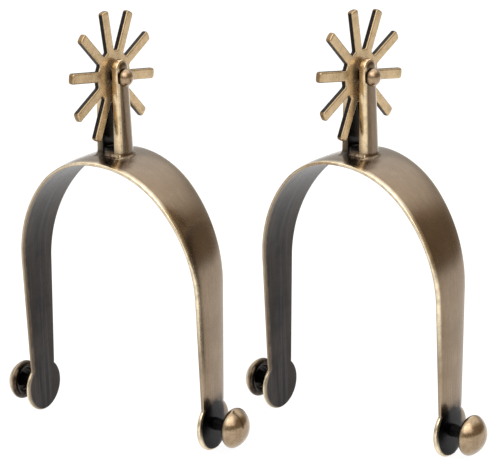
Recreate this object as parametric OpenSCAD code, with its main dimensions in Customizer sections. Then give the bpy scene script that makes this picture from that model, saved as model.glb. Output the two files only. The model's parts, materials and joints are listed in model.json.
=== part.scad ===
// Pair of spurs with forked shanks and free-turning rowels, standing on the
// round ends of their heel bands. Millimetres, +Z up, ground at z = 0, and the
// origin midway between the two spurs.
//
// Each spur is drawn about its own middle: X from leg to leg and along the
// rowel's pin, Y across the band, Z up the shank. place() then stands it in
// the pair.

/* [Heel band] */
// Clear width between the legs, where the boot's heel sits
heel_w = 80; // [66:1:98]
// Thickness of the band's metal
band_t = 2; // [1.6:0.1:3]
// Height of the straight part of a leg, from the ground to the arch
leg_h = 62; // [50:1:76]
// How much higher the arch rises than a half circle of the same width
arch_lift = 6.2; // [2:0.1:12]
// Angle that the crown's own arc turns through
crown_sweep = 94; // [60:1:120]
// Width of the band at the top of the crown
crown_w = 27.9; // [22:0.1:34]
// Width of the band where the arch meets the legs
spring_w = 17.1; // [14:0.1:21]
// Width of a leg where it meets its round end
leg_w = 13; // [10:0.1:16]
// Diameter of the round end of each leg
end_d = 20; // [17:0.5:25]

/* [Strap buttons] */
// Diameter of a button
button_d = 15.4; // [12:0.1:19]
// Height of a button, from its rim to the top of its dome
button_h = 6.8; // [5.2:0.1:8]
// Thickness of a button's rounded rim
button_rim = 3.2; // [2.4:0.1:3.6]
// Gap between a leg and its button, which takes the strap
strap_gap = 6.8; // [5:0.1:8.4]
// Height of a button above the middle of the round end
button_lift = 0.4; // [0:0.1:1.5]
// Diameter of the stem that the strap's slot sits around
stem_d = 5; // [4:0.1:6]
// Diameter of the stem's ends, in the leg and in the button
stem_tip_d = 3.6; // [2.8:0.1:4.4]
// Depth of the stem's hole in the button
button_hole = 2.4; // [1.6:0.1:2.8]

/* [Shank] */
// Height of the shank's solid foot, from the top of the crown to the slot
foot_h = 2.85; // [2.4:0.05:6]
// Width of the slot between the two tines
fork_gap = 5; // [4.2:0.1:6]
// Thickness of a tine beside the pin
tine_t = 3.2; // [2:0.1:4]
// Thickness of a tine at the crown
tine_root_t = 3.9; // [2.8:0.1:4.8]
// Width of a tine at its rounded tip
tine_w = 7.2; // [5.8:0.1:8.6]
// Width of a tine at the crown
tine_root_w = 8.5; // [7:0.1:10.2]
// Height of a tine's tip above the pin
tine_tip = 6.6; // [5.2:0.1:8]
// Room between the rowel's spokes and the floor of the slot, under the pin
floor_gap = 1.5; // [0.8:0.1:3]
// Radius of the fillet where the shank meets the band
foot_r = 2; // [1:0.1:3]
// Diameter of the tenon that holds the shank in the band
tenon_d = 6; // [4:0.1:8]

/* [Rowel] */
// Diameter over the spokes
rowel_d = 50; // [40:0.5:54]
// Thickness of the rowel
rowel_t = 2.4; // [1.8:0.1:3.2]
// Diameter of the rowel's hub
hub_d = 19.6; // [16:0.1:24]
// Number of spokes
spokes = 10; // [6:1:12]
// Width of a spoke
spoke_w = 4; // [3:0.1:5]
// Angle at which the first spoke comes to rest
rest_angle = -9; // [-18:0.5:18]

/* [Rowel pin] */
// Diameter of the pin
pin_d = 3.2; // [2.6:0.1:4]
// Radial clearance between the pin and the rowel's hole
pin_clear = 0.06; // [0.02:0.01:0.1]
// Diameter of the pin's domed head
head_d = 6.7; // [5.2:0.1:7.4]
// Height of the pin's head
head_h = 3.1; // [1.6:0.1:3.2]
// Diameter of the pin's peened tail
tail_d = 5; // [4.4:0.1:6.4]
// Height of the pin's peened tail
tail_h = 1.2; // [0.8:0.1:2]

/* [Pair] */
// Distance from spur to spur, to the side
pair_x = 77.2; // [70:0.1:160]
// Distance from spur to spur, front to back
pair_y = 48.2; // [44:0.1:60]
// Angle that each spur is turned towards the other
toe_angle = 3.2; // [0:0.1:6]

/* [Hidden] */

$fn = 96;
LEFT = -1;
RIGHT = 1;
brass = [0.58, 0.49, 0.36];
bright_brass = [0.69, 0.6, 0.44];
dark_brass = [0.45, 0.38, 0.28];
past = 1;    // how far a cut runs past the metal
foot_edge = 0.2;    // thickness of the foot's fillet at its edge

// The arch's outer face is three arcs that meet without a corner: a side arc
// up each leg, which turns through side_sweep, and the crown's arc.
half_w = heel_w / 2 + band_t;
arch_rise = half_w + arch_lift;
side_sweep = 90 - crown_sweep / 2;
centre_step = (arch_rise - half_w) / (sin(side_sweep) + cos(side_sweep) - 1);
side_r = half_w + centre_step * cos(side_sweep);
crown_r = side_r - centre_step;
crown_z = leg_h + arch_rise;
crown_centre_z = crown_z - crown_r;
side_len = side_r * side_sweep * PI / 180;
half_arch_len = side_len + crown_r * (90 - side_sweep) * PI / 180;
outline_steps = 20;    // straight edges along each half of the arch

end_r = end_d / 2;
button_z = end_r + button_lift;
rim_r = button_rim / 2;
rim_ring_r = button_d / 2 - rim_r;
dome_r = (pow(rim_ring_r, 2) + pow(button_h - rim_r, 2) - pow(rim_r, 2))
    / (2 * (button_h - button_rim));
dome_centre_h = button_h - dome_r;
button_x = half_w + strap_gap;

slot_floor_z = crown_z + foot_h;
pin_rise = foot_h + floor_gap + rowel_d / 2;
pin_z = crown_z + pin_rise;
tip_centre_z = pin_z + tine_tip - tine_w / 2;
fork_x = fork_gap / 2 + tine_t;
root_x = fork_gap / 2 + tine_root_t;
taper = (root_x - fork_x) / pin_rise;
tip_x = fork_x - taper * tine_tip;
// Where the foot's side fillets run out on the crown's curve
foot_x = root_x + foot_r;
foot_z = crown_centre_z + sqrt(pow(crown_r, 2) - pow(foot_x, 2));
foot_top_z = crown_z + foot_r + foot_edge;

// Height on the arch at a distance s from the top of the leg
function arch_z(s) = s < side_len
    ? leg_h + side_r * sin(s / side_r * 180 / PI)
    : crown_centre_z + crown_r * sin(side_sweep + (s - side_len) / crown_r * 180 / PI);

// Stands one spur in the pair
module place(side) {
    translate([side * pair_x / 2, side * pair_y / 2, 0])
        rotate([0, 0, -side * toe_angle])
            children();
}

// Turns a shape drawn in X and Y, and extruded along Z, up into X and Z
module stand(depth) {
    rotate([90, 0, 0])
        linear_extrude(depth, center = true)
            children();
}

// Turns an outline drawn in Y and Z across the spur
module across(depth) {
    rotate([90, 0, 90])
        linear_extrude(depth, center = true)
            children();
}

// A cylinder along X, from x = from to x = to
module rod(d, from, to, z) {
    translate([from, 0, z])
        rotate([0, 90, 0])
            cylinder(d = d, h = to - from);
}

// Front view of all that the band goes around, inset from its outer face: the
// crown's arc takes over from the side arcs along lines through its centre
module under_band(inset) {
    crown_centre = [0, crown_centre_z];
    reach = 3 * crown_z;
    right_split = crown_centre + reach * [cos(side_sweep), sin(side_sweep)];
    left_split = crown_centre + reach * [-cos(side_sweep), sin(side_sweep)];
    intersection() {
        translate(crown_centre)
            circle(r = crown_r - inset);
        polygon([crown_centre, right_split, left_split]);
    }
    intersection() {
        translate([half_w - side_r, leg_h])
            circle(r = side_r - inset);
        translate([side_r - half_w, leg_h])
            circle(r = side_r - inset);
        polygon([crown_centre, left_split, [-reach, 0], [reach, 0], right_split]);
    }
    translate([inset - half_w, inset > 0 ? -past : 0])
        square([2 * (half_w - inset), leg_h + (inset > 0 ? past : 0)]);
}

// One edge of the band, seen from the side, from its end up to the crown
function band_edge() = [
    [leg_w / 2, end_r],
    for (i = [0 : outline_steps])
        let (t = i / outline_steps)
            [(spring_w + t * (crown_w - spring_w)) / 2, arch_z(t * half_arch_len)],
    [crown_w / 2, crown_z + past]
];

// The band's outline seen from the side: it widens towards the crown
module band_outline() {
    back = band_edge();
    front = [for (i = [len(back) - 1 : -1 : 0]) [-back[i].x, back[i].y]];
    polygon(concat(back, front));
    translate([0, end_r])
        circle(r = end_r);
}

// Heel band: a strip bent over the heel, with a hole for the shank's tenon and
// one in each round end for a stem
module heel_band() {
    difference() {
        intersection() {
            stand(2 * crown_w)
                difference() {
                    under_band(0);
                    under_band(band_t);
                }
            across(2 * half_w + past)
                band_outline();
        }
        translate([0, 0, crown_z - 2 * band_t])
            cylinder(d = tenon_d, h = 2 * band_t + past);
        rod(stem_tip_d, -half_w - past, half_w + past, button_z);
    }
}

// The metal that fills the corner between the X and Y axes up to a radius r,
// with a blunt edge, and that runs a little into the metal on both sides
module fillet(r) {
    difference() {
        translate([-past, -past])
            square([r + past, r + foot_edge + past]);
        translate([r, r + foot_edge])
            circle(r = r);
    }
}

// Front view of the shank, with a fillet at each side of its foot
module shank_front() {
    polygon([
        [-root_x, foot_z - past], [-root_x, foot_top_z],
        [-tip_x, pin_z + tine_tip], [tip_x, pin_z + tine_tip],
        [root_x, foot_top_z], [root_x, foot_z - past]
    ]);
    for (s = [0, 1])
        mirror([s, 0])
            translate([root_x, foot_z])
                fillet(foot_r);
}

// Side view of the shank, with a rounded tip, and a fillet at front and back
module shank_side() {
    translate([0, tip_centre_z])
        circle(d = tine_w);
    polygon([
        [-tine_root_w / 2, crown_z], [-tine_root_w / 2, foot_top_z],
        [-tine_w / 2, tip_centre_z], [tine_w / 2, tip_centre_z],
        [tine_root_w / 2, foot_top_z], [tine_root_w / 2, crown_z]
    ]);
    translate([-tine_root_w / 2 - foot_r, foot_z - past])
        square([tine_root_w + 2 * foot_r, crown_z - foot_z + past]);
    for (s = [0, 1])
        mirror([s, 0])
            translate([tine_root_w / 2, crown_z])
                fillet(foot_r);
}

// A bar across the spur, along Y, that cuts or fills a round crown
module crown_bar(r, length) {
    translate([0, 0, crown_centre_z])
        rotate([90, 0, 0])
            cylinder(r = r, h = length, center = true);
}

// The fork: two tines on a solid foot, bored for the pin, and spot-faced so
// that the pin's head and tail sit flat
module fork() {
    difference() {
        intersection() {
            stand(4 * tine_root_w)
                shank_front();
            across(4 * root_x)
                shank_side();
        }
        crown_bar(crown_r, 4 * tine_root_w);
        translate([-fork_gap / 2, -tine_root_w, slot_floor_z])
            cube([fork_gap, 2 * tine_root_w, pin_z + tine_tip - slot_floor_z + past]);
        rod(pin_d, -root_x - past, root_x + past, pin_z);
        rod(head_d, fork_x, root_x + past, pin_z);
        rod(tail_d, -root_x - past, -fork_x, pin_z);
    }
}

// Shank: the fork, with a tenon down through the band and flush inside it
module shank() {
    fork();
    difference() {
        translate([0, 0, crown_z - 2 * band_t])
            cylinder(d = tenon_d, h = (slot_floor_z - crown_z) / 2 + 2 * band_t);
        crown_bar(crown_r - band_t, 2 * tenon_d);
    }
}

// Rowel: a flat hub with square-ended spokes, and a running hole for the pin
module rowel() {
    translate([0, 0, pin_z])
        rotate([rest_angle, 0, 0])
            rotate([90, 0, 90])
                linear_extrude(rowel_t, center = true)
                    difference() {
                        union() {
                            circle(d = hub_d);
                            for (i = [0 : spokes - 1])
                                rotate(i * 360 / spokes)
                                    intersection() {
                                        translate([0, -spoke_w / 2])
                                            square([rowel_d / 2, spoke_w]);
                                        circle(d = rowel_d);
                                    }
                        }
                        circle(r = pin_d / 2 + pin_clear);
                    }
}

// A low dome of diameter d and height h, standing on z = 0
module dome(d, h) {
    r = (pow(d / 2, 2) + pow(h, 2)) / (2 * h);
    rotate_extrude()
        intersection() {
            translate([0, h - r])
                circle(r = r);
            square([d / 2, h]);
        }
}

// Rowel pin: a rivet with a domed head, and a tail peened over the far tine
module rowel_pin() {
    rod(pin_d, -fork_x, fork_x, pin_z);
    translate([fork_x, 0, pin_z])
        rotate([0, 90, 0])
            dome(head_d, head_h);
    translate([-fork_x, 0, pin_z])
        rotate([0, -90, 0])
            dome(tail_d, tail_h);
}

// Section of a button, with its rim on h = 0: a dome that runs into a round
// rim, and is hollow inside it
module button_section() {
    translate([rim_ring_r, rim_r])
        circle(r = rim_r);
    intersection() {
        translate([0, dome_centre_h])
            circle(r = dome_r);
        polygon([
            [0, rim_r], [rim_ring_r, rim_r], [2 * rim_ring_r, 2 * rim_r - dome_centre_h],
            [2 * rim_ring_r, 2 * button_h], [0, 2 * button_h]
        ]);
    }
}

// Strap button, on the left (side = -1) or the right (side = 1) leg
module button(side) {
    translate([side * button_x, 0, button_z])
        rotate([0, side * 90, 0])
            difference() {
                rotate_extrude()
                    button_section();
                cylinder(d = stem_tip_d, h = rim_r + button_hole);
            }
}

// Stem of a button: a turned rivet whose ends sit in the leg and the button
module stem(side) {
    translate([side * half_w, 0, button_z])
        rotate([0, side * 90, 0]) {
            cylinder(d = stem_d, h = strap_gap + rim_r);
            translate([0, 0, -band_t])
                cylinder(d = stem_tip_d, h = band_t + strap_gap + rim_r + button_hole);
        }
}

// The nodes: "outer" is the leg that faces away from the other spur
module left_heel_band() { color(brass) place(LEFT) heel_band(); }
module left_shank() { color(brass) place(LEFT) shank(); }
module left_rowel() { color(bright_brass) place(LEFT) rowel(); }
module left_rowel_pin() { color(dark_brass) place(LEFT) rowel_pin(); }
module left_outer_button() { color(bright_brass) place(LEFT) button(LEFT); }
module left_outer_stem() { color(dark_brass) place(LEFT) stem(LEFT); }
module left_inner_button() { color(bright_brass) place(LEFT) button(RIGHT); }
module left_inner_stem() { color(dark_brass) place(LEFT) stem(RIGHT); }
module right_heel_band() { color(brass) place(RIGHT) heel_band(); }
module right_shank() { color(brass) place(RIGHT) shank(); }
module right_rowel() { color(bright_brass) place(RIGHT) rowel(); }
module right_rowel_pin() { color(dark_brass) place(RIGHT) rowel_pin(); }
module right_outer_button() { color(bright_brass) place(RIGHT) button(RIGHT); }
module right_outer_stem() { color(dark_brass) place(RIGHT) stem(RIGHT); }
module right_inner_button() { color(bright_brass) place(RIGHT) button(LEFT); }
module right_inner_stem() { color(dark_brass) place(RIGHT) stem(LEFT); }

left_heel_band();
left_shank();
left_rowel();
left_rowel_pin();
left_outer_button();
left_outer_stem();
left_inner_button();
left_inner_stem();
right_heel_band();
right_shank();
right_rowel();
right_rowel_pin();
right_outer_button();
right_outer_stem();
right_inner_button();
right_inner_stem();
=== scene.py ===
"""A pair of antiqued brass spurs, standing on the round ends of their bands.

Each spur is built in its own frame, in metres: X from leg to leg and along the
rowel's pin, Y across the band, Z up the shank, with the ground at z = 0.
spur_place() then stands it where the frame's rowel joints say.
"""
import json
import math

import bmesh
import bpy
from mathutils import Matrix, Vector


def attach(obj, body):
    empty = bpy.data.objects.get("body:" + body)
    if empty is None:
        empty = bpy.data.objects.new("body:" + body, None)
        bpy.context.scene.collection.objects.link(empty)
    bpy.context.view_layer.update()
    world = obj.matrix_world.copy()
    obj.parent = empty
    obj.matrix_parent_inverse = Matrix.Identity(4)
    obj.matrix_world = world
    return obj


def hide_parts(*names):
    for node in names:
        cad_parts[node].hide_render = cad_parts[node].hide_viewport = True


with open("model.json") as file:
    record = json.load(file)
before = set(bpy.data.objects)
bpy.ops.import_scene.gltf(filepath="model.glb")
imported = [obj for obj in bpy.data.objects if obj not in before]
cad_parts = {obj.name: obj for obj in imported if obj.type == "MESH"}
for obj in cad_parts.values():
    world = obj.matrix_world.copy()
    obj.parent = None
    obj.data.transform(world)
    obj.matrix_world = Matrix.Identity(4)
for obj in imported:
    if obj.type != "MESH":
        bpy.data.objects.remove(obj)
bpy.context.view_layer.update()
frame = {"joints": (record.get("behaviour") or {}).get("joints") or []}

MM = 0.001
SIDES = ("left", "right")
ROOT = "spurs"
JOINTS = {joint["name"]: joint for joint in frame["joints"]}

# Heel band
HALF_W = 42 * MM           # outer face of a leg
BAND_T = 2 * MM
LEG_H = 62 * MM            # top of the straight legs
ARCH_RISE = 48.2 * MM
CROWN_SWEEP = math.radians(94)
CROWN_W = 27.9 * MM
SPRING_W = 17.1 * MM       # width where the arch meets the legs
LEG_W = 13 * MM            # width at the middle of the round end
END_R = 10 * MM            # round end of a leg
NOTCH_Z = 17.6 * MM        # where a leg meets its round end
NOTCH_BLEND = 1.4 * MM
BAND_BULGE = 0.7 * MM      # the outer face stands this proud of its edges
BAND_EDGE_R = 0.55 * MM
BAND_INNER_R = 0.4 * MM

# Strap buttons
BUTTON_R = 7.7 * MM
BUTTON_H = 6.8 * MM
RIM_R = 1.6 * MM
STRAP_GAP = 6.8 * MM
BUTTON_Z = 10.4 * MM
STEM_R = 2.5 * MM
STEM_WAIST = 0.3 * MM
STEM_SUNK = 0.5 * MM       # how far its ends run into the leg and the button

# Shank
PIN_Z = JOINTS["left_rowel_spin"]["pos_m"][2]
SLOT_X = 2.5 * MM          # inner face of a tine
TINE_X = 5.7 * MM          # outer face of a tine beside the pin
ROOT_X = 6.4 * MM          # outer face of a tine at the crown
TINE_HALF_W = 3.6 * MM
ROOT_HALF_W = 4.25 * MM
TINE_TIP = 6.6 * MM        # above the pin
TINE_BULGE = 0.85 * MM     # the outer face stands this proud of its edges
TINE_EDGE_R = 0.7 * MM
TINE_INNER_R = 0.25 * MM
SLOT_FLOOR = 2.85 * MM     # above the crown
FOOT_R = 2 * MM
FOOT_SUNK = 1.2 * MM       # how far the shank's mesh runs into the crown

# Rowel and its pin
ROWEL_R = 25 * MM
ROWEL_T = 2.4 * MM
HUB_R = 9.8 * MM
SPOKES = 10
SPOKE_W = 4 * MM
SPOKE_CORNER = 1.0 * MM
REST_ANGLE = math.radians(-9)
ROWEL_EDGE_R = 0.75 * MM
PIN_R = 1.6 * MM
PIN_CLEAR = 0.06 * MM
HEAD_R = 3.35 * MM
HEAD_H = 3.1 * MM
TAIL_R = 2.5 * MM
TAIL_H = 1.2 * MM
CAP_SUNK = 0.4 * MM        # how far the head and tail run into the tines

# The arch's outer face: a side arc up each leg, and the crown's arc
SIDE_SWEEP = math.pi / 2 - CROWN_SWEEP / 2
CENTRE_STEP = (ARCH_RISE - HALF_W) / (math.sin(SIDE_SWEEP) + math.cos(SIDE_SWEEP) - 1)
SIDE_R = HALF_W + CENTRE_STEP * math.cos(SIDE_SWEEP)
CROWN_R = SIDE_R - CENTRE_STEP
CROWN_Z = LEG_H + ARCH_RISE
CROWN_CENTRE_Z = CROWN_Z - CROWN_R
SIDE_LEN = SIDE_R * SIDE_SWEEP
HALF_ARCH = SIDE_LEN + CROWN_R * CROWN_SWEEP / 2
HALF_LEN = LEG_H + HALF_ARCH

# Finish
UV_SCALE = 20              # UV units in a metre of strip
SHADE_BLACK = 1.5                 # patina of painted black shade, darker than the charcoal patina
PATCH_SCALE = 55           # noise scale of the soft brown patches
MOTTLE_SCALE = 380         # of the hammered dents and wandering edges
PIT_SCALE = 1500
SPECK_SCALE = 2400
BUMP_HEIGHT = 0.06 * MM
LACQUER_ROUGH = 0.22

# The photograph's view
CAMERA_AT = (0.47776, -0.62536, 0.32411)
CAMERA_AZIMUTH = 37.13
CAMERA_ELEVATION = 17.3
CAMERA_ROLL = -1.38
CAMERA_LENS = 159.4


# ---------------------------------------------------------------- helpers

def spur_place(side):
    """Where a spur stands: at its rowel joint, turned to the joint's axis."""
    joint = JOINTS[side + "_rowel_spin"]
    x, y, _ = joint["pos_m"]
    turn = math.atan2(joint["axis"][1], joint["axis"][0])
    return Matrix.Translation((x, y, 0)) @ Matrix.Rotation(turn, 4, "Z")


def ease(value, low, high):
    """Rises smoothly from 0 at low to 1 at high."""
    t = min(1, max(0, (value - low) / (high - low)))
    return t * t * (3 - 2 * t)


class Build:
    """Collects points with their patina, their wear and painted highlight, and faces, for one
    mesh.
    """

    def __init__(self):
        self.points = []
        self.patina = []
        self.wear_and_highlight = []
        self.uv = []
        self.faces = []

    def add(self, point, patina=0.0, wear_and_highlight=0.0, uv=(0.0, 0.0)):
        self.points.append(tuple(point))
        self.patina.append(patina)
        self.wear_and_highlight.append(wear_and_highlight)
        self.uv.append(uv)
        return len(self.points) - 1

    def strip(self, row_a, row_b, closed=False):
        """Fills between two rows of points."""
        count = len(row_a)
        for i in range(count if closed else count - 1):
            j = (i + 1) % count
            corners = (row_a[i], row_a[j], row_b[j], row_b[i])
            distinct = list(dict.fromkeys(corners))
            if len(distinct) > 2:
                self.faces.append(distinct)

    def strips(self, rows, closed=False):
        for row_a, row_b in zip(rows, rows[1:]):
            self.strip(row_a, row_b, closed)

    def mesh(self, name):
        """The mesh, with patina, and wear and painted highlight, on its points and the strip's
        UV.
        """
        mesh = bpy.data.meshes.new(name)
        mesh.from_pydata(self.points, [], self.faces)
        for label, values in (("patina", self.patina), ("wear_and_highlight", self.wear_and_highlight)):
            layer = mesh.attributes.new(label, "FLOAT", "POINT")
            layer.data.foreach_set("value", values)
        uv = mesh.uv_layers.new(name="strip")
        for loop in mesh.loops:
            uv.data[loop.index].uv = self.uv[loop.vertex_index]
        bm = bmesh.new()
        bm.from_mesh(mesh)
        bmesh.ops.remove_doubles(bm, verts=bm.verts, dist=1e-7)
        bmesh.ops.recalc_face_normals(bm, faces=bm.faces)
        for face in bm.faces:
            face.smooth = True
        bm.to_mesh(mesh)
        bm.free()
        return mesh


def piece(side, label, mesh, material, body, node):
    """Stands a mesh in its spur, in place of the CAD node.

    Its points keep their place in the spur's own frame as "spot", so that the
    same patches show on both spurs.
    """
    spot = mesh.attributes.new("spot", "FLOAT_VECTOR", "POINT")
    spot.data.foreach_set("vector", [part for vertex in mesh.vertices for part in vertex.co])
    mesh.transform(spur_place(side))
    obj = bpy.data.objects.new(side + "_" + label, mesh)
    bpy.context.scene.collection.objects.link(obj)
    obj.data.materials.append(material)
    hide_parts(side + "_" + node)
    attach(obj, body)
    return obj


def arc(centre, radius, start, end, steps):
    """Points along an arc, angles in degrees, both ends included."""
    points = []
    for i in range(steps + 1):
        angle = math.radians(start + (end - start) * i / steps)
        x = centre[0] + radius * math.cos(angle)
        y = centre[1] + radius * math.sin(angle)
        points.append((x, y))
    return points


def turned(build, profile, centre, direction, steps):
    """Turns a profile of (radius, height, patina, wear_and_highlight) about an axis along X.
    """
    rings = []
    for radius, height, patina, wear_and_highlight in profile:
        x = centre[0] + direction * height
        if radius <= 0:
            rings.append([build.add((x, centre[1], centre[2]), patina, wear_and_highlight)] * steps)
            continue
        ring = []
        for i in range(steps):
            angle = 2 * math.pi * i / steps
            y = centre[1] + radius * math.cos(angle)
            z = centre[2] + radius * math.sin(angle)
            ring.append(build.add((x, y, z), patina, wear_and_highlight, (y * UV_SCALE, z * UV_SCALE)))
        rings.append(ring)
    build.strips(rings, closed=True)


def edge_profile(outer_r, inner_r, outer_fall, thickness):
    """Section of a plate's rounded edge, as (inset, depth) from its outer face."""
    outer = arc((outer_r, outer_fall + outer_r), outer_r, -90, -180, 6)
    inner = arc((inner_r, thickness - inner_r), inner_r, 180, 90, 4)
    return outer + inner


def plate(build, outline, profile, bulge, columns, place, shade):
    """A rounded-edged plate, from its blank.

    outline is a list of (s, half width), profile the section of its edges and
    bulge how far the outer face's middle stands proud. place(s, y, depth) bends
    the blank to shape, and shade(s, y, depth, on_edge) gives patina, and wear
    with painted highlight.
    """
    last = len(outline) - 1
    normals = []
    for i in range(last + 1):
        before = Vector(outline[i]) - Vector(outline[max(0, i - 1)])
        after = Vector(outline[min(last, i + 1)]) - Vector(outline[i])
        along = (before.normalized() + after.normalized()).normalized()
        normals.append(Vector((-along.y, along.x)))
    for i in (0, last):
        if outline[i][1] == 0:
            normals[i] = Vector((-1 if i == 0 else 1, 0))

    def vertex(s, y, depth, on_edge):
        patina, wear_and_highlight = shade(s, y, depth, on_edge)
        return build.add(place(s, y, depth), patina, wear_and_highlight, (s * UV_SCALE, y * UV_SCALE))

    def edge_row(i, sign):
        row = []
        for inset, depth in profile:
            point = Vector(outline[i]) - normals[i] * inset
            row.append(vertex(point.x, sign * max(0.0, point.y), depth, True))
        return row

    near = [edge_row(i, -1) for i in range(last + 1)]
    far = [edge_row(i, 1) for i in range(last + 1)]
    build.strips(near)
    build.strips(far)
    for end, rise in ((0, bulge), (-1, 0)):
        inset, depth = profile[end]
        grid = []
        for i in range(last + 1):
            point = Vector(outline[i]) - normals[i] * inset
            row = [near[i][end]]
            # The face stands less proud where the blank narrows to its ends
            share = min(1.0, outline[i][1] / (6 * inset))
            for j in range(1, columns):
                across = 2 * j / columns - 1
                lift = rise * (1 - abs(across) ** 3) * ease(share, 0, 1)
                row.append(vertex(point.x, across * max(0.0, point.y), depth - lift, False))
            row.append(far[i][end])
            grid.append(row)
        build.strips(grid)


# -------------------------------------------------------------- heel band

def band_place(s, y, depth):
    """Bends the band's blank: s runs along the outer face from the crown."""
    sign = 1 if s >= 0 else -1
    along = abs(s)
    if along > HALF_ARCH:
        return Vector((sign * (HALF_W - depth), y, HALF_LEN - along))
    if along <= HALF_ARCH - SIDE_LEN:
        angle = math.pi / 2 - along / CROWN_R
        centre_x, centre_z, radius = 0.0, CROWN_CENTRE_Z, CROWN_R
    else:
        angle = (HALF_ARCH - along) / SIDE_R
        centre_x, centre_z, radius = HALF_W - SIDE_R, LEG_H, SIDE_R
    reach = radius - depth
    x = centre_x + reach * math.cos(angle)
    return Vector((sign * x, y, centre_z + reach * math.sin(angle)))


def leg_half_width(height):
    share = (height - END_R) / (LEG_H - END_R)
    return (LEG_W + share * (SPRING_W - LEG_W)) / 2


def band_half_width(s):
    """Half width of the arch and the legs, without the round ends."""
    along = abs(s)
    if along > HALF_ARCH:
        return leg_half_width(HALF_LEN - along)
    return (CROWN_W - (CROWN_W - SPRING_W) * along / HALF_ARCH) / 2


def round_end():
    """A leg's round end as (half width, height), from its notch to the ground."""
    disc = arc((0, END_R), END_R, 48, -90, 34)
    from_leg = Vector((leg_half_width(NOTCH_Z + NOTCH_BLEND), NOTCH_Z + NOTCH_BLEND))
    corner_z = NOTCH_Z - 0.1 * MM
    corner = Vector((leg_half_width(corner_z), corner_z))
    to_disc = Vector(disc[0])
    hollow = []
    for i in range(1, 6):
        t = i / 6
        point = from_leg * (1 - t) ** 2 + corner * 2 * t * (1 - t) + to_disc * t * t
        hollow.append((point.x, point.y))
    return hollow + disc[:-1]


def band_outline():
    """The blank's half widths, from one round end over the crown to the other."""
    half = []
    arch_steps = 56
    for i in range(arch_steps + 1):
        along = HALF_ARCH * i / arch_steps
        half.append((along, band_half_width(along)))
    leg_steps = 24
    top = LEG_H - 1.5 * MM
    for i in range(leg_steps + 1):
        height = top + (NOTCH_Z + NOTCH_BLEND - top) * i / leg_steps
        half.append((HALF_LEN - height, leg_half_width(height)))
    for half_width, height in round_end():
        half.append((HALF_LEN - height, half_width))
    half.append((HALF_LEN, 0.0))
    return [(-s, w) for s, w in reversed(half[1:])] + half


def strap_button_shade(y, height):
    """Painted shade on the outer face behind and around the strap button, black on the round
    end.
    """
    reach = math.hypot(y, height - END_R)
    leg_part = 1 - ease(height, 9 * MM, 31 * MM)
    leg_part *= 1 - ease(abs(y), 5 * MM, 6.6 * MM)
    disc_part = 1 - ease(reach, 0.86 * END_R, 1.02 * END_R)
    darkest_shade = SHADE_BLACK * (1 - 0.5 * ease(height, 14 * MM, 24 * MM))
    # Less painted shade towards the back edge, from the button's middle up
    behind = ease(y, 4.4 * MM, 6.4 * MM) * ease(height, 9 * MM, 13 * MM)
    return max(disc_part, leg_part) * darkest_shade * (1 - 0.85 * behind)


def inner_patina(s, y, depth, height):
    """Patina of the inner face, which thins towards the front edge."""
    half = band_half_width(s) if height > END_R else 0
    if height < 2 * END_R:
        half = max(half, math.sqrt(max(0, END_R ** 2 - (height - END_R) ** 2)))
    thinned = 1 - ease(y + half, 0.4 * MM, 2.6 * MM)
    return ease(depth, 0.72 * BAND_T, BAND_T) * (1 - 0.42 * thinned)


def edge_rub_and_highlight(s, y, depth, height):
    """Bright rubbed wear and painted highlight: strongest along the front of the arch and the
    round ends.
    """
    on_leg = 1 - ease(height, 34 * MM, 62 * MM)
    on_disc = 1 - ease(height, 15 * MM, 19 * MM)
    bright = max(1 - 0.85 * on_leg, on_disc) * (1 - 0.8 * ease(y, 0, 3 * MM))
    bright *= 1 - 0.3 * ease(depth, 0.4 * BAND_T, 0.8 * BAND_T)
    # Painted shade: the left leg's edges, on the dimmer side of the light, get less bright and
    # keep a brown edge
    dim_side = 1 - ease(s, -0.5 * HALF_ARCH, -0.05 * HALF_ARCH)
    return bright * (1 - 0.6 * dim_side * ease(height, 15 * MM, 20 * MM))


def band_shade(s, y, depth, on_edge):
    """Patina inside, painted shade around the strap button, and bright wear with painted
    highlight on the edges.
    """
    height = band_place(s, y, 0).z
    inner = inner_patina(s, y, depth, height)
    button_shade = strap_button_shade(y, height) if depth < BAND_T / 2 else 0.0
    wear_and_highlight = edge_rub_and_highlight(s, y, depth, height) * (1 - inner) if on_edge else 0.0
    return max(inner, button_shade), wear_and_highlight


def band_mesh():
    build = Build()
    profile = edge_profile(BAND_EDGE_R, BAND_INNER_R, BAND_BULGE, BAND_T)
    plate(build, band_outline(), profile, BAND_BULGE, 16, band_place, band_shade)
    return build.mesh("heel_band")


# ------------------------------------------------------------------ shank

def flare(height, foot_z):
    """Radius that a fillet adds at a height, where it starts at foot_z."""
    drop = FOOT_R - (height - foot_z)
    if drop <= 0:
        return 0.0
    drop = min(drop, FOOT_R)
    return FOOT_R - math.sqrt(FOOT_R ** 2 - drop ** 2)


def crown_surface(x):
    return CROWN_CENTRE_Z + math.sqrt(CROWN_R ** 2 - x * x)


def tine_half_width(height):
    share = min(1, max(0, (height - CROWN_Z) / (PIN_Z - CROWN_Z)))
    return ROOT_HALF_W + (TINE_HALF_W - ROOT_HALF_W) * share


def tine_outline(top, rounded):
    """Side view of a tine or of the foot: half widths from below the crown."""
    outline = [(CROWN_Z - FOOT_SUNK, 0.0)]
    flare_foot = CROWN_Z - 0.4 * MM
    fillet = (-0.8, -0.4, -0.2, 0, 0.25, 0.5, 0.8, 1.2, 1.6, 2.2)
    levels = [CROWN_Z - FOOT_SUNK] + [CROWN_Z + h * MM for h in fillet]
    steps = 12
    start = levels[-1]
    shoulder = top - TINE_HALF_W if rounded else top
    levels += [start + (shoulder - start) * i / steps for i in range(1, steps + 1)]
    for z in levels:
        outline.append((z, tine_half_width(z) + flare(z, flare_foot)))
    if rounded:
        for y, z in arc((0, shoulder), TINE_HALF_W, 0, 90, 14)[1:-1]:
            outline.append((z, y))
    outline.append((top, 0.0))
    return outline


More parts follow.
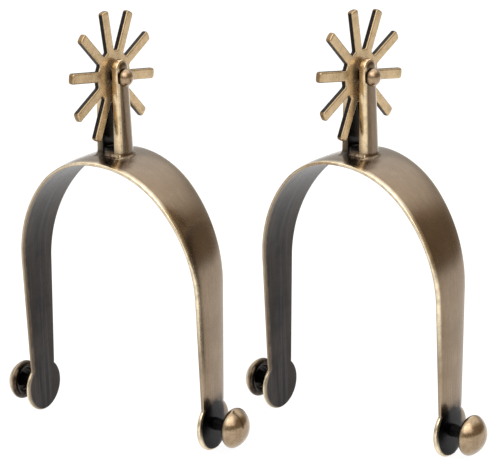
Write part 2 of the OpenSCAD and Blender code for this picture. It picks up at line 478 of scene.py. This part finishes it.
def add_tine(build, hand):
    """One tine, hand -1 or 1, whose outer face leans in towards the tip."""
    thickness = ROOT_X - SLOT_X
    lean = (ROOT_X - TINE_X) / (PIN_Z - CROWN_Z)
    flare_foot = crown_surface(ROOT_X + FOOT_R)

    def place(z, y, depth):
        outer = ROOT_X - lean * max(0, z - CROWN_Z) + flare(z, flare_foot)
        share = depth / thickness
        return Vector((hand * (outer + (SLOT_X - outer) * share), y, z))

    def shade(z, y, depth, on_edge):
        # The inner faces are dark: painted shade in the slot between the tines
        inner = ease(depth, thickness - 1.6 * TINE_INNER_R, thickness)
        # Near the rowel's hub the painted shade gives way to bright metal
        brightened = inner * ease(z, PIN_Z - 1.1 * HUB_R, PIN_Z - 0.7 * HUB_R)
        inner -= brightened
        # Painted shade on the far tine's front and inner faces, in the rowel's shadow, fading
        # out up from the crown
        corner = 0.0
        if hand < 0:
            corner = 0.9 * (1 - ease(z, CROWN_Z + 12 * MM, CROWN_Z + 22 * MM))
            corner *= ease(depth, 0.1 * thickness, 0.5 * thickness)
            corner *= 1 - ease(y, -1 * MM, 1 * MM)
        if on_edge:
            valley = 0.0
            # Bright rubbed wear and painted highlight on the edges, less where the painted
            # shade lies and near the crown
            wear_and_highlight = (1 - inner) * (1 - corner) * (0.95 if depth < 0.75 * thickness else 0.7)
            wear_and_highlight *= 0.25 + 0.75 * ease(z, CROWN_Z + 0.5 * MM, CROWN_Z + 3 * MM)
        else:
            valley = 0.35 * ease(abs(y) / TINE_HALF_W, 0.1, 0.5)
            wear_and_highlight = 0.0
        return max(inner, corner, valley), max(wear_and_highlight, brightened)

    profile = edge_profile(TINE_EDGE_R, TINE_INNER_R, TINE_BULGE, thickness)
    outline = tine_outline(PIN_Z + TINE_TIP, True)
    plate(build, outline, profile, TINE_BULGE, 10, place, shade)


def add_foot(build):
    """The solid foot between the tines: dark brown at its front, and black on top in the slot,
    which is painted shade.
    """
    reach = SLOT_X + 0.5 * MM

    def place(z, y, depth):
        return Vector((reach - depth, y, z))

    def shade(z, y, depth, on_edge):
        front = 0.45
        # Dark brown at the front, turning to painted black shade on top in the slot
        return front + (SHADE_BLACK - front) * ease(z, CROWN_Z + 1.2 * MM, CROWN_Z + 2.4 * MM), 0

    outline = tine_outline(CROWN_Z + SLOT_FLOOR, False)
    tuck = 0.12 * MM    # keeps the foot's front behind the tines' edges
    profile = [(tuck, 0.0), (tuck, reach), (tuck, 2 * reach)]
    plate(build, outline, profile, 0.0, 6, place, shade)


def shank_mesh():
    build = Build()
    for hand in (-1, 1):
        add_tine(build, hand)
    add_foot(build)
    return build.mesh("shank")


# ------------------------------------------------------------------ rowel

def rowel_outline():
    """The rowel in its own plane, anticlockwise, as (point, tip share)."""
    half = SPOKE_W / 2
    root = math.asin(half / HUB_R)
    pitch = 2 * math.pi / SPOKES
    tip = math.sqrt(ROWEL_R ** 2 - half ** 2)
    corner_x = tip - SPOKE_CORNER
    start = HUB_R * math.cos(root) + 0.35 * MM
    lower = [(start, -half), (corner_x - 0.4 * MM, -half)]
    lower += arc((corner_x, SPOKE_CORNER - half), SPOKE_CORNER, -90, -8, 4)
    upper = [(x, -y) for x, y in reversed(lower)]
    spoke = lower + [(ROWEL_R, 0)] + upper
    outline = []
    gap = pitch - 2 * root
    for k in range(SPOKES):
        turn = Matrix.Rotation(k * pitch, 2)
        for point in spoke:
            outline.append((turn @ Vector(point), ease(point[0], corner_x - 0.2 * MM, tip)))
        for i in range(1, 6):
            angle = k * pitch + root + gap * i / 6
            outline.append((Vector((math.cos(angle), math.sin(angle))) * HUB_R, 0.0))
    return outline


def inset_ring(points, amount):
    """The ring moved inwards by an amount, with mitred corners."""
    inset = []
    for i, point in enumerate(points):
        before = (point - points[i - 1]).normalized()
        after = (points[(i + 1) % len(points)] - point).normalized()
        normal = Vector((before.y, -before.x))
        mitre = (normal + Vector((after.y, -after.x))).normalized()
        inset.append(point - mitre * (amount / max(0.5, mitre.dot(normal))))
    return inset


def rowel_mesh():
    """The star, with rounded edges, and sides that are dark but for the tips."""
    half_t = ROWEL_T / 2
    turn = Matrix.Rotation(REST_ANGLE, 2)
    outline = rowel_outline()
    points = [point for point, _ in outline]
    build = Build()
    section = arc((ROWEL_EDGE_R, half_t - ROWEL_EDGE_R), ROWEL_EDGE_R, 90, 180, 5)
    section += [(inset, -height) for inset, height in reversed(section)]
    rings = []
    for inset, height in section:
        side_face = ease(ROWEL_EDGE_R - inset, 0.72 * ROWEL_EDGE_R, 0.97 * ROWEL_EDGE_R)
        ring = []
        for (_, at_tip), point in zip(outline, inset_ring(points, inset)):
            spot = turn @ point
            patina = side_face * (1 - 0.85 * at_tip)
            # Bright rubbed wear and painted highlight along the rounded edges
            wear_and_highlight = 0.85 * (1 - side_face)
            uv = (spot.x * UV_SCALE, spot.y * UV_SCALE)
            ring.append(build.add((height, spot.x, PIN_Z + spot.y), patina, wear_and_highlight, uv))
        rings.append(ring)
    build.strips(rings, closed=True)
    bore = []
    bore_r = PIN_R + PIN_CLEAR
    bore_steps = 40
    for height in (half_t, -half_t):
        ring = []
        for y, z in arc((0, PIN_Z), bore_r, 0, 360 - 360 / bore_steps, bore_steps - 1):
            uv = (y * UV_SCALE, (z - PIN_Z) * UV_SCALE)
            ring.append(build.add((height, y, z), 0.6, 0, uv))
        bore.append(ring)
    build.strips(bore, closed=True)
    mesh = build.mesh("rowel")
    close_faces(mesh, half_t)
    return mesh


def close_faces(mesh, half_t):
    """Fills both flat faces, each between its outline and the bore."""
    bm = bmesh.new()
    bm.from_mesh(mesh)
    uv_layer = bm.loops.layers.uv.active
    for sign in (1, -1):
        rim = []
        for edge in bm.edges:
            if edge.is_boundary and all(vert.co.x * sign > 0 for vert in edge.verts):
                rim.append(edge)
        filled = bmesh.ops.triangle_fill(bm, use_beauty=True, use_dissolve=False, edges=rim)
        for item in filled["geom"]:
            if isinstance(item, bmesh.types.BMFace):
                item.smooth = True
                for loop in item.loops:
                    spot = loop.vert.co
                    loop[uv_layer].uv = (spot.y * UV_SCALE, (spot.z - PIN_Z) * UV_SCALE)
    bmesh.ops.recalc_face_normals(bm, faces=bm.faces)
    bm.to_mesh(mesh)
    bm.free()


# ------------------------------------------------- pin, buttons and stems

def dome(radius, base, rise, span, steps):
    """Points (radius, height) up a dome, over a span of its arc short of its top."""
    dome_r = (radius ** 2 + rise ** 2) / (2 * rise)
    sweep = math.degrees(math.asin(radius / dome_r))
    return arc((0, base + rise - dome_r), dome_r, 90 - span * sweep, 90, steps)[:-1]


def pin_mesh():
    """The rivet: a domed head, a flatter peened tail, and the shaft between."""
    build = Build()
    collar = 0.9 * MM    # straight part under the head's dome
    head = [(0, -CAP_SUNK, 1, 0), (HEAD_R - 0.2 * MM, -0.1 * MM, 1, 0)]
    head += [(HEAD_R, 0.15 * MM, 0.8, 0), (HEAD_R, collar - 0.2 * MM, 0.3, 0.1)]
    for x, h in dome(HEAD_R, collar, HEAD_H - collar, 0.96, 12):
        head.append((x, h, 0.12 * (x / HEAD_R) ** 3, 0.15))
    head.append((0, HEAD_H, 0, 0.15))
    turned(build, head, (TINE_X, 0, PIN_Z), 1, 48)
    tail = [(0, -CAP_SUNK, 1, 0), (TAIL_R - 0.1 * MM, 0, 0.8, 0)]
    for x, h in dome(TAIL_R, 0, TAIL_H, 0.97, 10):
        tail.append((x, h, 0.3, 0.1))
    tail.append((0, TAIL_H, 0.2, 0.1))
    turned(build, tail, (-TINE_X, 0, PIN_Z), -1, 40)
    length = 2 * TINE_X
    shaft = [(0, 0, 1, 0), (PIN_R, 0, 1, 0), (PIN_R, length, 1, 0), (0, length, 1, 0)]
    turned(build, shaft, (-TINE_X, 0, PIN_Z), 1, 32)
    return build.mesh("rowel_pin")


def button_mesh(direction):
    """A domed head with a thick round rim and a hollow back."""
    ring_r = BUTTON_R - RIM_R
    # The dome runs on into the rim without a crease
    dome_r = ring_r ** 2 + (BUTTON_H - RIM_R) ** 2 - RIM_R ** 2
    dome_r /= 2 * (BUTTON_H - 2 * RIM_R)
    dome_h = BUTTON_H - dome_r
    lean = math.degrees(math.atan2(RIM_R - dome_h, ring_r))
    profile = [(0, BUTTON_H, 0.0, 0.1)]
    for x, h in arc((0, dome_h), dome_r, 90, lean, 18)[1:]:
        profile.append((x, h, 0.0, 0.1))
    for x, h in arc((ring_r, RIM_R), RIM_R, lean, -180, 20)[1:]:
        # Painted shade darkens the rim's underside and inside, which face the leg; its top
        # gets bright wear and painted highlight
        under = ease(RIM_R - h, -0.5 * RIM_R, 0.5 * RIM_R)
        inner = ease(ring_r - x, -0.3 * RIM_R, 0.5 * RIM_R)
        profile.append((x, h, max(under * 0.75, inner), 0.35 * (1 - under)))
    hollow_r = ring_r - RIM_R
    profile.append((hollow_r - 0.5 * MM, RIM_R + 0.35 * MM, 1, 0))
    profile.append((0, RIM_R + 0.45 * MM, 1, 0))
    build = Build()
    turned(build, profile, (direction * (HALF_W + STRAP_GAP), 0, BUTTON_Z), direction, 72)
    return build.mesh("button")


def stem_mesh(direction):
    """A turned stem, a little waisted between the leg and the button."""
    length = STRAP_GAP + RIM_R
    profile = [(0, -STEM_SUNK, 1, 0), (STEM_R, -STEM_SUNK, 1, 0)]
    steps = 12
    for i in range(steps + 1):
        waist = STEM_WAIST * math.sin(math.pi * i / steps)
        profile.append((STEM_R - waist, length * i / steps, 1, 0))
    profile += [(STEM_R, length + STEM_SUNK, 1, 0), (0, length + STEM_SUNK, 1, 0)]
    build = Build()
    turned(build, profile, (direction * HALF_W, 0, BUTTON_Z), direction, 40)
    return build.mesh("stem")


# -------------------------------------------------------------- materials

class Shading:
    """A material's node tree, with short ways to add to it."""

    def __init__(self, name):
        self.material = bpy.data.materials.new(name)
        self.material.use_nodes = True
        self.tree = self.material.node_tree
        self.shader = self.tree.nodes["Principled BSDF"]
        self.coords = self.tree.nodes.new("ShaderNodeTexCoord").outputs

    def feed(self, socket, value):
        """Links a node's output to a socket, or sets a plain value on it."""
        if isinstance(value, bpy.types.NodeSocket):
            self.tree.links.new(value, socket)
        elif isinstance(value, tuple):
            socket.default_value = (*value, 1)
        else:
            socket.default_value = value

    def maths(self, operation, a, b=0.0):
        node = self.tree.nodes.new("ShaderNodeMath")
        node.operation = operation
        self.feed(node.inputs[0], a)
        self.feed(node.inputs[1], b)
        return node.outputs[0]

    def mix(self, factor, a, b):
        """Mixes two colours, which are a Mix node's inputs 6 and 7."""
        node = self.tree.nodes.new("ShaderNodeMix")
        node.data_type = "RGBA"
        self.feed(node.inputs[0], factor)
        self.feed(node.inputs[6], a)
        self.feed(node.inputs[7], b)
        return node.outputs[2]

    def remap(self, value, low, high, to_low, to_high):
        node = self.tree.nodes.new("ShaderNodeMapRange")
        for name, number in (("From Min", low), ("From Max", high),
                             ("To Min", to_low), ("To Max", to_high)):
            node.inputs[name].default_value = number
        self.feed(node.inputs["Value"], value)
        return node.outputs["Result"]

    def noise(self, vector, scale, detail):
        node = self.tree.nodes.new("ShaderNodeTexNoise")
        node.inputs["Scale"].default_value = scale
        node.inputs["Detail"].default_value = detail
        node.inputs["Roughness"].default_value = 0.6
        self.feed(node.inputs["Vector"], vector)
        return node.outputs["Fac"]

    def stretch(self, vector, scale):
        node = self.tree.nodes.new("ShaderNodeMapping")
        node.inputs["Scale"].default_value = scale
        self.feed(node.inputs["Vector"], vector)
        return node.outputs["Vector"]

    def attribute(self, name, output="Fac"):
        node = self.tree.nodes.new("ShaderNodeAttribute")
        node.attribute_name = name
        return node.outputs[output]

    def across(self):
        """Distance from the middle of a strip, in UV units."""
        split = self.tree.nodes.new("ShaderNodeSeparateXYZ")
        self.feed(split.inputs[0], self.coords["UV"])
        return self.maths("ABSOLUTE", split.outputs["Y"])


def antique_brass(name, clean, brown, bright, dark, dark_edge,
                  grain_scale, roughness, dents, metal=1.0, coat=0.6):
    """Lacquered brass with patina in its recesses and bright, rubbed edges.

    clean and brown mix in soft patches and brushed streaks. The mesh's patina
    turns the metal dark, or dark_edge towards a strip's edges, and black where it
    runs past 1, which is painted shade; its wear_and_highlight turns it bright, as
    rubbed wear and painted highlight. grain_scale stretches the brushed grain, in
    UV units. dents
    is the depth of the hammered dents, as a share of the bump, metal how far the
    surface is bare metal, and coat how much of the clean metal is lacquered.
    """
    s = Shading(name)
    black = tuple(0.3 * part for part in dark)
    haze = tuple(2.4 * part for part in dark)
    broad_scale = tuple(0.25 * part for part in grain_scale)
    place = s.attribute("spot", "Vector")
    grain = s.noise(s.stretch(s.coords["UV"], grain_scale), 1.0, 4)
    streaks = s.noise(s.stretch(s.coords["UV"], broad_scale), 1.0, 2)
    patches = s.noise(place, PATCH_SCALE, 3)
    mottle = s.noise(place, MOTTLE_SCALE, 3)
    specks = s.noise(place, SPECK_SCALE, 2)
    pits = s.remap(s.noise(place, PIT_SCALE, 1), 0.72, 0.78, 0.0, 1.0)

    # Clean metal: brown patches, brushed streaks and brighter dents
    colour = s.mix(s.remap(patches, 0.35, 0.68, 0, 0.6), clean, brown)
    colour = s.mix(s.remap(grain, 0.40, 0.66, 0.0, 0.5), colour, brown)
    colour = s.mix(s.remap(mottle, 0.45, 0.75, 0.0, 0.12 * dents), colour, bright)

    # Patina, with a wandering edge
    wander = s.maths("ADD", s.attribute("patina"), s.remap(mottle, 0.3, 0.7, -0.10, 0.10))
    mask = s.remap(wander, 0.15, 0.85, 0, 1)
    toward_edge = s.remap(s.across(), 0.05, 0.13, 0.0, 0.8)
    oxide = s.mix(toward_edge, dark, dark_edge)
    oxide = s.mix(s.remap(grain, 0.35, 0.7, 0.0, 0.8), oxide, dark_edge)
    oxide = s.mix(s.remap(patches, 0.4, 0.6, 0.0, 0.5), oxide, black)
    oxide = s.mix(s.remap(streaks, 0.48, 0.66, 0.0, 0.55), oxide, haze)
    colour = s.mix(mask, colour, oxide)
    # Patina past 1 turns black: painted shade
    colour = s.mix(s.remap(wander, 1.0, SHADE_BLACK, 0, 1), colour, black)

    # Rubbed edges with painted highlight, and dark in the pits
    brightened = s.maths("MULTIPLY", s.attribute("wear_and_highlight"), s.remap(mottle, 0.32, 0.6, 0.6, 1.0))
    colour = s.mix(brightened, colour, bright)
    colour = s.mix(s.maths("MULTIPLY", pits, 0.6), colour, dark)
    s.feed(s.shader.inputs["Base Color"], colour)

    # Gloss varies with the grain, and the patina is duller
    rough = s.remap(grain, 0.3, 0.7, roughness - 0.04, roughness + 0.07)
    rough = s.maths("ADD", rough, s.remap(specks, 0.4, 0.7, -0.03, 0.05))
    rough = s.maths("ADD", rough, s.maths("MULTIPLY", mask, 0.1))
    s.feed(s.shader.inputs["Roughness"], rough)
    s.shader.inputs["Metallic"].default_value = metal
    s.feed(s.shader.inputs["Coat Weight"], s.remap(mask, 0, 1, coat, 0.2 * coat))
    s.shader.inputs["Coat Roughness"].default_value = LACQUER_ROUGH

    # Grain, specks and dents in relief, and the pits sunk
    relief = s.maths("ADD", s.maths("MULTIPLY", grain, 0.5), s.maths("MULTIPLY", specks, 0.3))
    relief = s.maths("ADD", relief, s.maths("MULTIPLY", mottle, dents))
    relief = s.maths("SUBTRACT", relief, pits)
    bump = s.tree.nodes.new("ShaderNodeBump")
    bump.inputs["Strength"].default_value = 0.3
    bump.inputs["Distance"].default_value = BUMP_HEIGHT
    s.feed(bump.inputs["Height"], relief)
    s.feed(s.shader.inputs["Normal"], bump.outputs["Normal"])
    return s.material


CHARCOAL = (0.024, 0.0225, 0.023)
UMBER = (0.045, 0.034, 0.027)
BLACK = (0.009, 0.008, 0.008)
LONG_GRAIN = (4, 110, 1)   # brushed along a strip
EVEN_GRAIN = (60, 60, 1)

BAND = antique_brass(
    "band_brass", clean=(0.262, 0.186, 0.118), brown=(0.165, 0.108, 0.060),
    bright=(0.90, 0.76, 0.53), dark=CHARCOAL, dark_edge=UMBER,
    grain_scale=LONG_GRAIN, roughness=0.21, dents=0.25)
SHANK = antique_brass(
    "shank_brass", clean=(0.185, 0.122, 0.066), brown=(0.115, 0.072, 0.038),
    bright=(0.84, 0.66, 0.41), dark=BLACK, dark_edge=UMBER,
    grain_scale=LONG_GRAIN, roughness=0.23, dents=0.5)
ROWEL = antique_brass(
    "rowel_brass", clean=(0.265, 0.168, 0.078), brown=(0.19, 0.115, 0.052),
    bright=(0.66, 0.49, 0.28), dark=BLACK, dark_edge=BLACK,
    grain_scale=EVEN_GRAIN, roughness=0.28, dents=0.6, metal=0.8, coat=0.2)
PIN = antique_brass(
    "pin_brass", clean=(0.36, 0.24, 0.135), brown=(0.15, 0.092, 0.05),
    bright=(0.62, 0.47, 0.31), dark=BLACK, dark_edge=UMBER,
    grain_scale=EVEN_GRAIN, roughness=0.27, dents=3.0)
BUTTON = antique_brass(
    "button_brass", clean=(0.40, 0.28, 0.165), brown=(0.17, 0.11, 0.06),
    bright=(0.66, 0.52, 0.34), dark=BLACK, dark_edge=BLACK,
    grain_scale=EVEN_GRAIN, roughness=0.22, dents=2.0)
# The stem's near-black colour is painted shade under the button
STEM = antique_brass(
    "stem_brass", clean=(0.06, 0.045, 0.03), brown=(0.03, 0.022, 0.016),
    bright=(0.14, 0.11, 0.075), dark=BLACK, dark_edge=BLACK,
    grain_scale=EVEN_GRAIN, roughness=0.4, dents=0.6)


# ------------------------------------------------------------- the pieces

for spur in SIDES:
    outward = -1 if spur == "left" else 1
    wheel_body = spur + "_rowel_wheel"
    piece(spur, "band", band_mesh(), BAND, ROOT, "heel_band")
    piece(spur, "fork", shank_mesh(), SHANK, ROOT, "shank")
    piece(spur, "rivet", pin_mesh(), PIN, ROOT, "rowel_pin")
    star = piece(spur, "star", rowel_mesh(), ROWEL, wheel_body, "rowel")
    star.modifiers.new("flat_faces", "WEIGHTED_NORMAL")
    for leg, direction in (("outer", outward), ("inner", -outward)):
        button = button_mesh(direction)
        stem = stem_mesh(direction)
        piece(spur, leg + "_dome", button, BUTTON, ROOT, leg + "_button")
        piece(spur, leg + "_neck", stem, STEM, ROOT, leg + "_stem")


# ------------------------------------------------- floor, light and camera

def studio_floor():
    """A white floor that glows with painted light, dimming softly far off to the back and
    right.
    """
    half = 6.0
    back_right = (0.65, 0.76, 0)
    corners = [(-half, -half, 0), (half, -half, 0), (half, half, 0), (-half, half, 0)]
    mesh = bpy.data.meshes.new("floor")
    mesh.from_pydata(corners, [], [(0, 1, 2, 3)])
    floor = bpy.data.objects.new("floor", mesh)
    bpy.context.scene.collection.objects.link(floor)
    s = Shading("pale_floor")
    s.shader.inputs["Base Color"].default_value = (0.15, 0.15, 0.15, 1)
    s.shader.inputs["Roughness"].default_value = 0.9
    s.shader.inputs["Emission Color"].default_value = (1, 1, 1, 1)
    away = s.tree.nodes.new("ShaderNodeVectorMath")
    away.operation = "DOT_PRODUCT"
    away.inputs[1].default_value = back_right
    s.feed(away.inputs[0], s.coords["Object"])
    dim_from, dim_to = 0.65, 1.4    # metres from the spurs
    glow = s.remap(away.outputs["Value"], dim_from, dim_to, 0.9, 0.35)
    s.feed(s.shader.inputs["Emission Strength"], glow)
    floor.data.materials.append(s.material)


def height_ramp(tree, height, levels):
    """A colour that changes with height, from a list of (height, colour)."""
    ramp = tree.nodes.new("ShaderNodeValToRGB")
    ramp.color_ramp.interpolation = "EASE"
    stops = ramp.color_ramp.elements
    while len(stops) < len(levels):
        stops.new(0.5)
    for stop, (position, colour) in zip(stops, levels):
        stop.position = position
        stop.color = (*colour, 1)
    tree.links.new(height, ramp.inputs["Fac"])
    return ramp.outputs["Color"]


def studio_world():
    """A soft room: a white ceiling, grey walls and a dim brown wall to the right."""
    world = bpy.data.worlds.new("studio")
    bpy.context.scene.world = world
    world.use_nodes = True
    tree = world.node_tree
    background = tree.nodes["Background"]
    coords = tree.nodes.new("ShaderNodeTexCoord")
    split = tree.nodes.new("ShaderNodeSeparateXYZ")
    tree.links.new(coords.outputs["Generated"], split.inputs[0])
    height = split.outputs["Z"]
    white = (1.0, 1.0, 1.0)
    pale = (0.78, 0.77, 0.75)
    umber_wall = (0.26, 0.20, 0.14)
    umber_low = (0.19, 0.148, 0.105)
    grey_wall = (0.38, 0.37, 0.35)
    dim_levels = ((0, umber_low), (0.03, umber_wall), (0.27, pale), (0.4, white))
    lit_levels = ((0, grey_wall), (0.4, grey_wall), (0.58, pale), (0.7, white))
    # The brown wall reaches higher, the further it is to the right
    rise_to_right = 0.75
    sink = tree.nodes.new("ShaderNodeMath")
    sink.operation = "MULTIPLY_ADD"
    sink.inputs[1].default_value = -rise_to_right
    tree.links.new(split.outputs["X"], sink.inputs[0])
    tree.links.new(height, sink.inputs[2])
    dim = height_ramp(tree, sink.outputs[0], dim_levels)
    lit = height_ramp(tree, height, lit_levels)
    side = tree.nodes.new("ShaderNodeMapRange")
    side.interpolation_type = "SMOOTHSTEP"
    brown_from, brown_to = 0.1, 0.52
    side.inputs["From Min"].default_value = brown_from
    side.inputs["From Max"].default_value = brown_to
    tree.links.new(split.outputs["X"], side.inputs["Value"])
    mix = tree.nodes.new("ShaderNodeMix")
    mix.data_type = "RGBA"
    tree.links.new(side.outputs["Result"], mix.inputs[0])
    tree.links.new(lit, mix.inputs[6])
    tree.links.new(dim, mix.inputs[7])
    tree.links.new(mix.outputs[2], background.inputs["Color"])
    background.inputs["Strength"].default_value = 1.6


def soft_box(name, at, size, power):
    """An area light of a size in metres, aimed at the middle of the spurs."""
    light = bpy.data.lights.new(name, "AREA")
    light.shape = "RECTANGLE"
    light.size, light.size_y = size
    light.energy = power
    lamp = bpy.data.objects.new(name, light)
    lamp.location = at
    middle = Vector((0, 0, 80 * MM))
    aim = middle - Vector(at)
    lamp.rotation_euler = aim.to_track_quat("-Z", "Y").to_euler()
    bpy.context.scene.collection.objects.link(lamp)


def camera():
    """The photograph's view: from the front right, about 0.8 m away."""
    azimuth = math.radians(CAMERA_AZIMUTH)
    elevation = math.radians(CAMERA_ELEVATION)
    roll = math.radians(CAMERA_ROLL)
    level = math.cos(elevation)
    back = Vector((math.sin(azimuth) * level, -math.cos(azimuth) * level, math.sin(elevation)))
    right = Vector((math.cos(azimuth), math.sin(azimuth), 0))
    up = back.cross(right)
    rolled_right = right * math.cos(roll) + up * math.sin(roll)
    rolled_up = up * math.cos(roll) - right * math.sin(roll)
    data = bpy.data.cameras.new("camera")
    data.sensor_width = 36
    data.lens = CAMERA_LENS
    data.clip_end = 20
    eye = bpy.data.objects.new("camera", data)
    place = Matrix((rolled_right, rolled_up, back)).transposed().to_4x4()
    place.translation = CAMERA_AT
    eye.matrix_world = place
    bpy.context.scene.collection.objects.link(eye)
    bpy.context.scene.camera = eye


studio_floor()
studio_world()
soft_box("key", at=(0.7, -0.5, 0.9), size=(1.0, 1.0), power=6)
soft_box("fill", at=(-0.9, -0.7, 0.6), size=(0.8, 0.8), power=0.7)
camera()
bpy.context.scene.view_settings.view_transform = "Standard"
